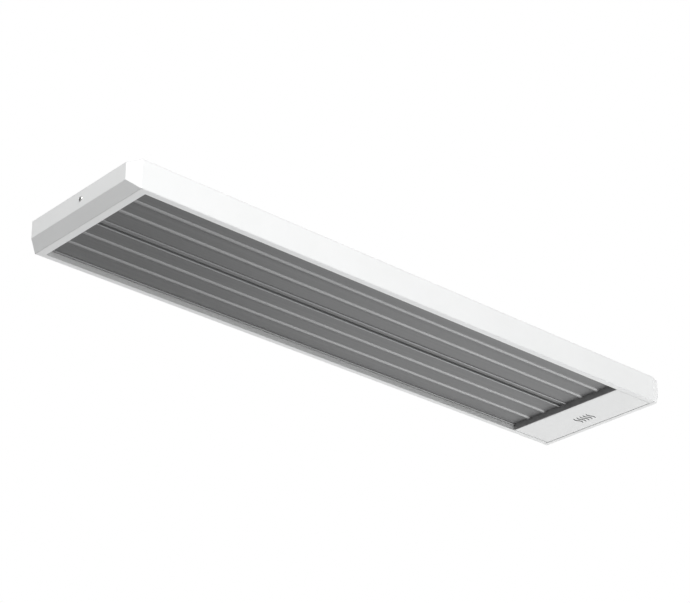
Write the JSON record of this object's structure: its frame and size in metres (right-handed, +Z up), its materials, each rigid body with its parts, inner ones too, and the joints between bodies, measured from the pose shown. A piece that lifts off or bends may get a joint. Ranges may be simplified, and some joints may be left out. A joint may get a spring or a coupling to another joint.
{
  "type": "ceiling radiant strip heater",
  "caption": "Long flat white radiant heater hung under a ceiling: ribbed dark panels in a folded casing with bevelled ends, a hinged terminal cover and brackets that let it shift.",
  "frame": {"origin": "middle of the four ceiling slots, on the ceiling plane", "axes": "+X along the heater towards its terminal end, +Y across it, +Z up to the ceiling"},
  "size_m": [1.2046, 0.27, 0.082],
  "materials": {
    "white_paint": "smooth satin powder coat",
    "panel_anodised": "dark grey anodised extrusion",
    "dark_paint": "matt heat-resistant grey",
    "zinc_steel": "zinc plated",
    "screw_steel": "bright plated",
    "element_steel": "heat-tinted tube",
    "ceramic": "glazed ceramic",
    "fibre_mat": "fibre mat",
    "foil": "bright foil",
    "rubber": "matt moulded rubber",
    "block_plastic": "moulded polyamide",
    "cutout_plastic": "moulded phenolic",
    "brass": "machined",
    "lead_brown": "silicone sleeve",
    "lead_blue": "silicone sleeve",
    "lead_green": "silicone sleeve"
  },
  "bodies": {
    "ceiling_mount": {"ceiling_bracket_left": "zinc_steel", "ceiling_bracket_right": "zinc_steel", "clamp_screws": "screw_steel", "clamp_washers": "screw_steel", "clamp_nuts": "screw_steel"},
    "heater": {"casing_shell": "white_paint", "back_plate": "white_paint", "back_plate_rivets": "screw_steel", "end_cap_left": "white_paint", "end_cap_right": "white_paint", "end_cap_screws": "screw_steel", "radiant_panel_near": "panel_anodised", "radiant_panel_far": "panel_anodised", "heating_element_near": "element_steel", "heating_element_far": "element_steel", "partition_bushings": "ceramic", "element_seals": "ceramic", "element_pins": "screw_steel", "centre_channel": "panel_anodised", "cross_rail_left": "zinc_steel", "cross_rail_middle": "zinc_steel", "cross_rail_right": "zinc_steel", "hanger_bolts": "screw_steel", "hanger_nuts": "screw_steel", "insulation_mat": "fibre_mat", "insulation_foil": "foil", "partition_plate": "dark_paint", "cover_hinge_pin": "screw_steel", "terminal_block": "block_plastic", "terminal_sleeves": "brass", "terminal_screws": "screw_steel", "thermal_cutout": "cutout_plastic", "cutout_blades": "brass", "earth_stud": "screw_steel", "earth_washer": "screw_steel", "earth_lug": "brass", "earth_nut": "screw_steel", "cable_grommet": "rubber", "lead_live": "lead_brown", "lead_switched": "lead_brown", "lead_link": "lead_blue", "lead_neutral": "lead_blue", "lead_earth": "lead_green"},
    "cover": {"terminal_cover": "white_paint", "cover_spring": "screw_steel"}
  },
  "joints": [
    {"name": "heater_shift", "type": "slide", "parent": "ceiling_mount", "child": "heater", "axis": [1, 0, 0], "range_m": [-0.04, 0.04]},
    {"name": "cover_hinge", "type": "hinge", "parent": "heater", "child": "cover", "pos_m": [0.5304, 0.1218, -0.0795], "axis": [1, 0, 0], "range_deg": [0, 95]}
  ]
}
